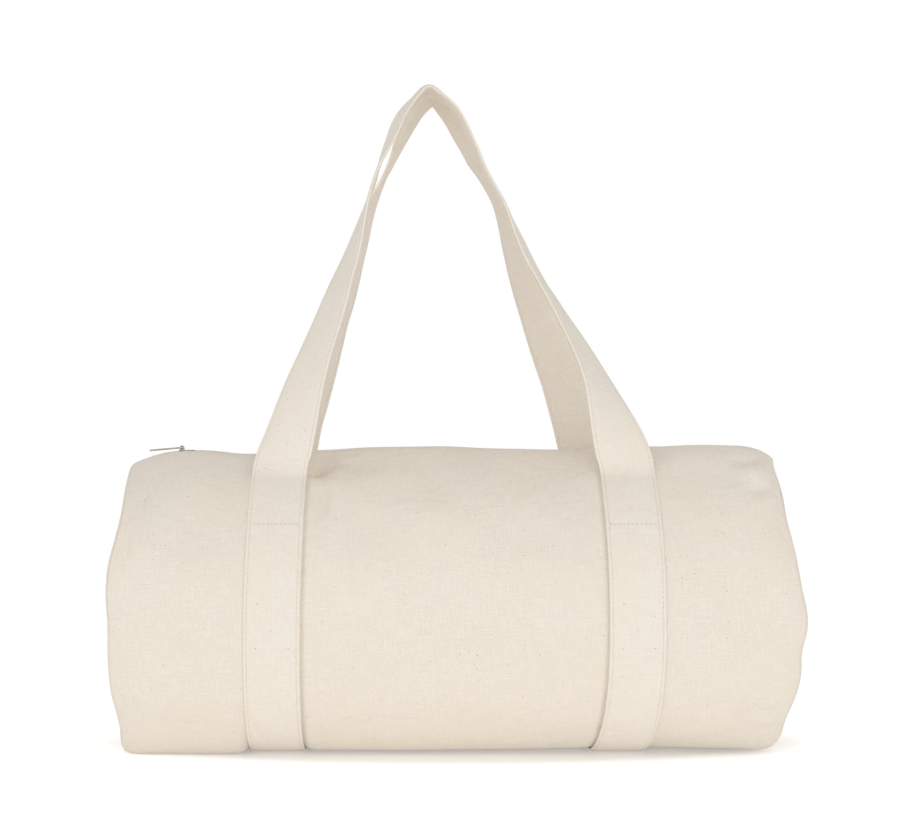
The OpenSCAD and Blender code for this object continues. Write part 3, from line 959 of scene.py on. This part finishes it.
# 1 where the two handles are held together
def atPeak(middle):
    peak = strap["peak"]
    near = np.exp(-(((middle[:, 0] - peak["x"]) / peak["reach"]) ** 2))
    return near * comeIn(middle[:, 2], *peak["height"])


def handleStations(run, facing):
    foldY, foldZ, leanY = strap["foldY"], strap["foldZ"], strap["leanY"]
    rows = []
    for x, z, turn in run:
        share = min(1, max(0, (z - foldZ) / strap["leanRise"]))
        rows.append((x, -foldY + (foldY - leanY) * share, z, turn))
    ends = []
    faces, crease = strap["endFaces"], 180 - creaseAngle
    for side in (-1, 1):
        angles = np.linspace(crease + sewnTo, crease + strap["creaseLow"][side], faces)
        y, z = section(angles, -panel["seatGap"] - strap["thickness"] / 2, np.zeros(faces))
        x = strapMiddle(540 - angles if facing > 0 else angles, side)
        ends.append(np.stack([x, y, z, np.zeros(faces)], -1))
    rows = np.concatenate([ends[0], np.array(rows), ends[1][::-1]])
    path = throughRows(rows, strap["stationGap"])
    path[1:-1] = (path[:-2] + 2 * path[1:-1] + path[2:]) / 4
    path[:, 1] += (leanY - strap["peak"]["halfWidth"]) * atPeak(path)
    middle, turn = path[:, :3], np.radians(np.clip(path[:, 3], 0, 90))[:, None]
    along = unit(np.gradient(middle, axis=0))
    depth = unit(np.array([0, 1.0, 0]) - along * along[:, 1:2])
    sideways = np.cross(depth, along)
    # by the crease the strap lies square to the body, and leans into its run above it
    square = 1 - comeIn(middle[:, 2:3] - foldZ, *strap["squareBelow"])
    level = np.array([1.0, 0, 0]) * np.sign(sideways[:, :1])
    level = unit(level - along * np.sum(level * along, axis=1, keepdims=True) * (1 - square))
    sideways = unit(sideways * (1 - square) + level * square)
    across = sideways * np.cos(turn) - depth * np.sin(turn)
    out = unit(np.cross(across, along))
    narrowed = 1 - strap["peak"]["halfWidth"] / leanY  # the cloth is gathered at the peak
    across = across * (1 - narrowed * atPeak(middle)[:, None])
    if facing > 0:
        flip = np.array([1, -1, 1])
        middle, across, out = middle * flip, across * flip, out * flip
    return middle, across, out


# how far the strap's face stands off its middle line: soft waves that die out at its ends
def strapWave(s, total, column, ripple, gathered=0):
    wave = (
        0.5 * np.sin(s / 23 + 1.3) * column
        + 0.3 * np.sin(s / 11 + 2 * column)
        + 0.25 * np.sin(s / 47 + 0.5)
    )
    folds = 2.6 * np.sin(5 * column + 0.4) * (1 - column**2) * gathered
    return ripple * (wave * smooth(np.minimum(s, total - s) / 40) + folds)


def addStrap(name, stations, width, ripple):
    middle, across, out = stations
    run = runAlong(middle)
    even = np.linspace(0, 1, len(strapColumns))

    def lay(u, v):
        col = np.interp(u, even, strapColumns)[:, None]
        row = np.clip(np.round(v * (len(run) - 1)).astype(int), 0, len(run) - 1)
        gathered = atPeak(middle[row])[:, None]
        wave = strapWave(run[row][:, None], run[-1], col, ripple, gathered)
        return middle[row] + across[row] * col * width / 2 + out[row] * wave

    piece = addSheet(name, len(strapColumns) - 1, len(run) - 1, lay, (width, run[-1]))
    # the columns aren't evenly spaced, so the UV map runs in metres from the middle line
    flat = readUv(piece)
    flat[:, 0] = np.interp(flat[:, 0] / (width * mm), even, strapColumns) * width * mm / 2
    writeUv(piece, flat)
    share = uvOfPoints(piece, 0) / (width * mm / 2)
    weigh(piece, "plump", np.interp(share, strapColumns, strapPlump))
    applyModifier(
        piece, "SOLIDIFY", thickness=strap["thickness"] * mm, offset=0, vertex_group="plump",
        thickness_vertex_group=0.0, use_even_offset=False,
    )
    piece.vertex_groups.clear()
    return piece


bodyPanel = makeBodyPanel()
thicken(bodyPanel, body["cloth"])
finishPiece(bodyPanel, canvas, 60)
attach(bodyPanel, "bag")
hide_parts("main_panel")

for name, side, node in (
    ("endPanelLeft", -1, "end_panel_left"),
    ("endPanelRight", 1, "end_panel_right"),
):
    piece = makeEndPanel(name, side)
    applyModifier(piece, "SUBSURF", levels=1, render_levels=1)
    thicken(piece, body["cloth"])
    finishPiece(piece, canvas, 60)
    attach(piece, "bag")
    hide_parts(node)
print("the canvas body is made")

bands = {}
for name, side, node in (
    ("strapBandLeft", -1, "strap_band_left"),
    ("strapBandRight", 1, "strap_band_right"),
):
    bands[name] = bandStations(side, 180 - creaseAngle + sewnTo, 360 + creaseAngle - sewnTo)
    piece = addStrap(name, bands[name], strap["width"], 0.0)
    finishPiece(piece, strapCanvas, 50)
    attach(piece, "bag")
    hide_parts(node)


# the real handle bends on the hinge line, below it staying with the bag and above it swinging; here
# only its place is baked into its mesh
def bendAtFold(piece):
    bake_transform(piece)


handles = {}
for name, run, facing, node in (
    ("handleFront", frontHandleRun, -1, "handle_front"),
    ("handleBack", backHandleRun, 1, "handle_back"),
):
    handles[name] = handleStations(run, facing)
    piece = addStrap(name, handles[name], strap["width"], strap["ripple"])
    finishPiece(piece, strapCanvas, 50)
    bendAtFold(piece)
    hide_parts(node)
print("the straps are made")


stitch = {  # one is modelled and repeated along every row
    "length": 3.0,
    "pitch": 3.5,
    "thickness": 0.5,
    "lift": 0.08,  # of the thread's middle from the cloth
    "hemIn": 4.5,  # from the folded edge of a lip to its row
    "hemEnd": 234,
    "innerFrom": 6,  # above the hinge line, where the rows of a handle's inner face begin
    "crossPitch": 3.1,  # of the rows across the straps' sewn ends
    "crossShare": 0.88,  # of a strap's half width
    "crossPoints": 25,
    # size of the dots of painted shade in the needle holes
    "hole": (0.65, 1.8, 0.4),
}


# where the stitches of a row lie: place, direction along the row and out of the cloth
def stitchPlaces(line, outs, pitch):
    run = runAlong(line)
    at = np.arange(pitch / 2, run[-1], pitch)
    place, along, out = [
        np.stack([np.interp(at, run, rows[:, i]) for i in range(3)], -1)
        for rows in (line, np.gradient(line, axis=0), outs)
    ]
    along = unit(along)
    out = unit(out - along * np.sum(out * along, axis=1, keepdims=True))
    return place, along, out


def sew(name, rows, material, size, pitch):
    piece = addPrimitive(
        name, bpy.ops.mesh.primitive_uv_sphere_add, segments=6, ring_count=4, radius=0.5,
        rotation=(0, math.radians(90), 0),
    )
    piece.data.name = name
    one = points(piece) * size
    laid = [stitchPlaces(*row, pitch) for row in rows]
    place, along, out = [np.concatenate(part) for part in zip(*laid)]
    applyModifier(piece, "ARRAY", count=len(place), use_relative_offset=False)
    ways = (along, np.cross(out, along), out)
    laid = place[:, None] + sum(one[None, :, i : i + 1] * ways[i][:, None] for i in range(3))
    setPoints(piece, laid.reshape(-1, 3) * mm)
    return finishPiece(piece, material)


# a row along a strap, at a share of its half width, on its outer (1) or inner (-1) face
def strapRow(stations, share, face, ripple, skip=0):
    middle, across, out = stations
    run = runAlong(middle)
    wave = strapWave(run, run[-1], share, ripple, atPeak(middle))[:, None]
    rise = face * strap["thickness"] / 2 * np.interp(share, strapColumns, strapPlump)
    rise = wave + rise + face * stitch["lift"]
    line = middle + across * share * strap["width"] / 2 + out * rise
    keep = slice(skip, len(line) - skip)
    return line[keep], out[keep] * face


threadSize = np.array([stitch["length"], stitch["thickness"], stitch["thickness"] * 0.8])
edgeShare = 1 - strap["stitchIn"] / (strap["width"] / 2)
for name, stations in bands.items():
    rows = [strapRow(stations, share, 1, 0.0) for share in (-edgeShare, edgeShare)]
    piece = sew(name + "Stitches", rows, sewingThread, threadSize, stitch["pitch"])
    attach(piece, "bag")
freeFrom = int((strap["sewnAbove"] + stitch["innerFrom"]) / strap["stationGap"])
for name, facing in (("handleFront", -1), ("handleBack", 1)):
    rows = [
        strapRow(handles[name], share, face, strap["ripple"], freeFrom if face < 0 else 0)
        for share in (-edgeShare, edgeShare)
        for face in (1, -1)
    ]
    piece = sew(name + "Stitches", rows, sewingThread, threadSize, stitch["pitch"])
    bendAtFold(piece)

# the row across each sewn end is pulled tight: its needle holes show between the stitches as dots
# of painted shade
crossRows = []
columns = np.linspace(-stitch["crossShare"], stitch["crossShare"], stitch["crossPoints"])
columns = columns[:, None]
rise = strap["thickness"] / 2 * np.interp(columns, strapColumns, strapPlump)
for middle, across, out in handles.values():
    for at in (1, -2):
        line = middle[at] + across[at] * columns * strap["width"] / 2 + out[at] * rise
        crossRows.append((line, np.tile(out[at], (len(line), 1))))
for name, material, size, shift in (
    ("crossStitches", sewingThread, threadSize * [0.6, 1, 1], 0),
    ("crossHoleShade", holeShade, np.array(stitch["hole"]), stitch["crossPitch"] / 2),
):
    rows = [(line + unit(line[-1:] - line[:1]) * shift, outs) for line, outs in crossRows]
    piece = sew(name, rows, material, size, stitch["crossPitch"])
    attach(piece, "bag")

hemRows = []
along = np.linspace(-stitch["hemEnd"], stitch["hemEnd"], 120)
for side in (-1, 1):
    a = math.degrees(math.acos(side * (body["lipGap"] / 2 + stitch["hemIn"]) / halfDepth))
    line = settle(skin(a, -stitch["lift"], along))
    hemRows.append((line, np.tile([0, 0, 1.0], (len(line), 1))))
piece = sew("hemStitches", hemRows, sewingThread, threadSize, stitch["pitch"])
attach(piece, "bag")
print("the stitches are made")


zipParts = {
    "tapeIn": 0.2,
    "tapeOut": 15.6,
    "tapeEnd": 225,
    "tape": 0.6,
    "tapeWave": (0.12, 7.3),  # height and length
    "tabGap": 0.15,
    "layerInset": 1.35,
    "coilEnd": 210.7,
    "coilPitch": 1.6,  # of one side; the two sides mesh half a pitch apart
    "coilBase": 219.29,
    "coilHeight": 1.6,
    "coilSlant": 0.22,
    "toothOut": 3.2,
    "toothIn": -0.45,
    "bindingIn": 5,
    "bindingGap": 0.9,
    "bindingWidth": 10,
    "bindingThickness": 0.8,
}


# height of the layer that the zip's tapes and tabs lie in
def zipLayer(y, x):
    deep = np.maximum(body["lipGap"] / 2, np.abs(y))
    a = np.degrees(np.arccos(deep / halfDepth))
    return section(a, zipParts["layerInset"], x)[1] - zipParts["tape"] / 2


def makeTape(name, side):
    width, end = zipParts["tapeOut"] - zipParts["tapeIn"], zipParts["tapeEnd"]
    height, length = zipParts["tapeWave"]

    def lay(u, v):
        y = side * (zipParts["tapeIn"] + width * (v if side > 0 else 1 - v))
        x = (u - 0.5) * 2 * end
        wave = height * np.sin(x / length) * comeIn(np.abs(y), 9, 5)
        return np.stack([x, y, zipLayer(y, x) - np.abs(wave) + zipDip(x)], -1)

    piece = addSheet(name, 150, 8, lay, (2 * end, width))
    thicken(piece, zipParts["tape"])
    return piece


def makeEndTab(name, side):
    width, length = 2 * zipParts["tapeOut"], halfLength - zipParts["tapeEnd"]
    gap = zipParts["tabGap"]

    def lay(u, v):
        along = u if side > 0 else 1 - u
        x = side * (zipParts["tapeEnd"] + gap + (length - gap) * along)
        y = (v - 0.5) * width
        return settle(np.stack([x, y, zipLayer(y, x)], -1))

    piece = addSheet(name, 8, 16, lay, (length, width))
    thicken(piece, zipParts["tape"])
    return piece


# one tooth, modelled once and arrayed, each copy then set in its place
def makeCoil(name, side):
    reach = zipParts["toothOut"] - zipParts["toothIn"]
    piece = addPrimitive(
        name, bpy.ops.mesh.primitive_uv_sphere_add, segments=8, ring_count=6, radius=0.5,
        rotation=(math.radians(90), 0, 0),
    )
    tooth = points(piece) * [0.78, 1, 0.95]
    share = tooth[:, 1] + 0.5  # 0 at the head, 1 at the tape
    tooth[:, 0] *= np.interp(share, [0, 0.12, 0.3, 1], [1.45, 1.4, 0.95, 1.0])
    tooth[:, 2] *= 1 + 0.35 * np.sin(share * math.pi)
    tooth[:, 1] = zipParts["toothIn"] + reach * share
    tooth[:, 0] += zipParts["coilSlant"] * share
    setPoints(piece, tooth * mm)
    count = int(2 * zipParts["coilEnd"] / zipParts["coilPitch"]) - 1
    applyModifier(piece, "ARRAY", count=count, use_relative_offset=False)
    place = points(piece).reshape(count, -1, 3) / mm
    first = 0.75 if side > 0 else 1.25
    at = zipParts["coilPitch"] * (np.arange(count) + first) - zipParts["coilEnd"]
    place[:, :, 0] += at[:, None]
    place[:, :, 1] *= side
    place[:, :, 2] += zipParts["coilBase"] + zipParts["coilHeight"] / 2 + zipDip(at)[:, None]
    setPoints(piece, place.reshape(-1, 3) * mm)
    if side < 0:
        editWhole(piece, bpy.ops.mesh.flip_normals)
    return piece


# cotton tape folded over the raw edges of an end seam, inside the bag
def makeBinding(name, side):
    width, thickness = zipParts["bindingWidth"], zipParts["bindingThickness"]
    inset = zipParts["layerInset"] + zipParts["tape"] + zipParts["bindingGap"] + thickness / 2

    def lay(u, v):
        a = evenAngles(v, 0, 360, inset, halfLength)[0]
        inwards = zipParts["bindingIn"] + width * (1 - u if side > 0 else u)
        return settle(skin(a, inset, side * (halfLength - inwards)))

    run = evenAngles([0, 1], 0, 360, inset, halfLength)[1]
    piece = addSheet(name, 4, 120, lay, (width, run))
    editWhole(piece, bpy.ops.mesh.remove_doubles, threshold=0.01 * mm)
    thicken(piece, thickness)
    return piece


# a flat metal part: an outline of corners, extruded up
def makePlate(name, outline, low, high):
    piece = addPrimitive(
        name, bpy.ops.mesh.primitive_circle_add, vertices=len(outline), radius=0.01,
        fill_type="NGON",
    )
    setPoints(piece, np.array([(x, y, low) for x, y in outline]) * mm)
    bpy.ops.object.mode_set(mode="EDIT")
    bpy.ops.mesh.select_all(action="SELECT")
    up = (0, 0, (high - low) * mm)
    bpy.ops.mesh.extrude_region_move(TRANSFORM_OT_translate={"value": up})
    bpy.ops.mesh.select_all(action="SELECT")
    bpy.ops.mesh.normals_make_consistent(inside=False)
    bpy.ops.object.mode_set(mode="OBJECT")
    return piece


def roundEdges(piece, width, segments=3, sharper=40):
    applyModifier(
        piece, "BEVEL", width=width * mm, segments=segments, limit_method="ANGLE",
        angle_limit=math.radians(sharper),
    )
    return piece


def drill(piece, x, y, radius, sides):
    cutter = addPrimitive(
        "cutter", bpy.ops.mesh.primitive_cylinder_add, vertices=sides, radius=radius * mm,
        depth=6 * mm, location=(x * mm, y * mm, 0),
    )
    applyModifier(piece, "BOOLEAN", operation="DIFFERENCE", object=cutter, solver="EXACT")
    bpy.data.objects.remove(cutter, do_unlink=True)


def arcPoints(x, y, radius, start, end, count):
    turns = [math.radians(start + (end - start) * i / count) for i in range(count + 1)]
    return [(x + radius * math.cos(turn), y + radius * math.sin(turn)) for turn in turns]


def joinPieces(name, pieces):
    bpy.ops.object.select_all(action="DESELECT")
    for piece in pieces:
        piece.select_set(True)
    bpy.context.view_layer.objects.active = pieces[0]
    bpy.ops.object.join()
    pieces[0].name = name
    return pieces[0]


slider = {
    "x": -204.7,
    "length": 12,
    "width": 9.2,
    "lowPlate": (217.24, 218.24),
    "highPlate": (221.19, 222.19),
    "flange": (3.4, 219.44),  # inner side and underside
    "flangeFrom": 0.36,  # of the slider's length, back from its middle
    "flangeLength": 5.5,
    "flangeInto": 0.5,  # the upper plate
    "pin": (-208.4, 223.938),
    "pinRadius": 0.8,
    "crownWidth": 2.4,
    "crownRadius": 1.68,
    "crownPlay": 0.08,
    "pullLength": 25,
    "pullWidth": 6.4,
    "pullThickness": 1.2,
    "pullTilt": 5,
    "armLength": 4.4,
    "armIn": 1.5,
    "neck": 0.72,
    "eyeRadius": 1.5,
}


# a plate's outline, from its half widths along its length
def sliderOutline():
    along = [-0.5, -0.47, -0.42, -0.34, -0.2, -0.05, 0.1, 0.25, 0.4, 0.47, 0.5]
    half = [0.24, 0.34, 0.42, 0.485, 0.5, 0.5, 0.5, 0.475, 0.42, 0.36, 0.28]
    length, width = slider["length"], slider["width"]
    upper = [(slider["x"] + length * a, width * h) for a, h in zip(along, half)]
    return upper[::-1] + [(x, -y) for x, y in upper]


def makeSlider():
    parts = [
        roundEdges(makePlate("lowPlate", sliderOutline(), *slider["lowPlate"]), 0.3),
        roundEdges(makePlate("highPlate", sliderOutline(), *slider["highPlate"]), 0.4),
    ]
    near, far = slider["flange"][0], slider["width"] / 2
    start = slider["x"] - slider["length"] * slider["flangeFrom"]
    end = start + slider["flangeLength"]
    low, high = slider["flange"][1], slider["highPlate"][0] + slider["flangeInto"]
    for side in (-1, 1):
        corners = [(start, near), (end, near), (end, far), (start, far)]
        corners = [(x, side * y) for x, y in corners]
        parts.append(roundEdges(makePlate("flange", corners, low, high), 0.25))
    return joinPieces("zipSliderBody", parts)


# the crown is an arch of flat wire over the pin
def makeCrown():
    pinX, pinZ = slider["pin"]
    radius, half = slider["crownRadius"], slider["crownWidth"] / 2
    foot = slider["highPlate"][1]
    arch = arcPoints(pinX, pinZ, radius, 0, 180, 16)
    outline = [(pinX + radius, foot)] + arch + [(pinX - radius, foot)]
    piece = makePlate("crown", outline, -half, half)
    drill(piece, pinX, pinZ, slider["pinRadius"] + slider["crownPlay"], 24)
    roundEdges(piece, 0.15, 2, 50)
    place = points(piece)
    setPoints(piece, np.stack([place[:, 0], -place[:, 2], place[:, 1]], -1))
    piece.name = "zipSliderBridge"
    return piece


def makePull():
    tip = slider["pullWidth"] / 2
    tipX = -slider["pullLength"] + tip
    neck = tip * slider["neck"]
    armIn, armLength = slider["armIn"], slider["armLength"]
    # the fork's arms run past the crown on both sides, and the pin joins them
    arm = [(0.75, armIn), (0.75, tip), (-armLength - 0.6, tip * 0.97), (-armLength - 2.2, neck)]
    outline = (
        arm
        + arcPoints(tipX, 0, tip, 90, 270, 20)
        + [(x, -y) for x, y in arm[::-1]]
        + [(-armLength, -armIn), (-armLength, armIn)]
    )
    half = slider["pullThickness"] / 2
    piece = makePlate("pull", outline, -half, half)
    drill(piece, tipX, 0, slider["eyeRadius"], 32)
    roundEdges(piece, 0.28, 3, 50)
    pin = addPrimitive(
        "pin", bpy.ops.mesh.primitive_cylinder_add, vertices=24, radius=slider["pinRadius"] * mm,
        depth=slider["pullWidth"] * mm, rotation=(math.radians(90), 0, 0),
    )
    roundEdges(pin, 0.2, 2, 50)
    piece = joinPieces("zipPullTab", [piece, pin])
    x, y, z = points(piece).T
    tilt = math.radians(slider["pullTilt"])
    pinX, pinZ = slider["pin"]
    tilted = (
        x * math.cos(tilt) - z * math.sin(tilt) + pinX * mm,
        y,
        x * math.sin(tilt) + z * math.cos(tilt) + pinZ * mm,
    )
    setPoints(piece, np.stack(tilted, -1))
    return piece


for name, side, word in (("Front", -1, "front"), ("Back", 1, "back")):
    piece = finishPiece(makeTape("zipTape" + name, side), zipTape, 50)
    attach(piece, "bag")
    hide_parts("zip_tape_" + word)
    piece = finishPiece(makeCoil("zipCoil" + name, side), nylonCoil)
    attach(piece, "bag")
    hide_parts("zip_coil_" + word)
for name, side, word in (("Left", -1, "left"), ("Right", 1, "right")):
    piece = finishPiece(makeEndTab("zipTab" + name, side), canvas, 50)
    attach(piece, "bag")
    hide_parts("zip_end_tab_" + word)
    piece = finishPiece(makeBinding("seamBinding" + name, side), zipTape, 50)
    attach(piece, "bag")
    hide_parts("end_binding_" + word)

for make, carrier, node in (
    (makeSlider, "slider", "zip_slider"),
    (makeCrown, "slider", "zip_slider_crown"),
    (makePull, "pull", "zip_pull"),
):
    piece = finishPiece(make(), nickel, 35)
    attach(piece, carrier)
    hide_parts(node)
for node in ("zip_top_stops", "zip_bottom_stop"):
    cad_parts[node].data.materials.append(nickel)
print("the zip is made")
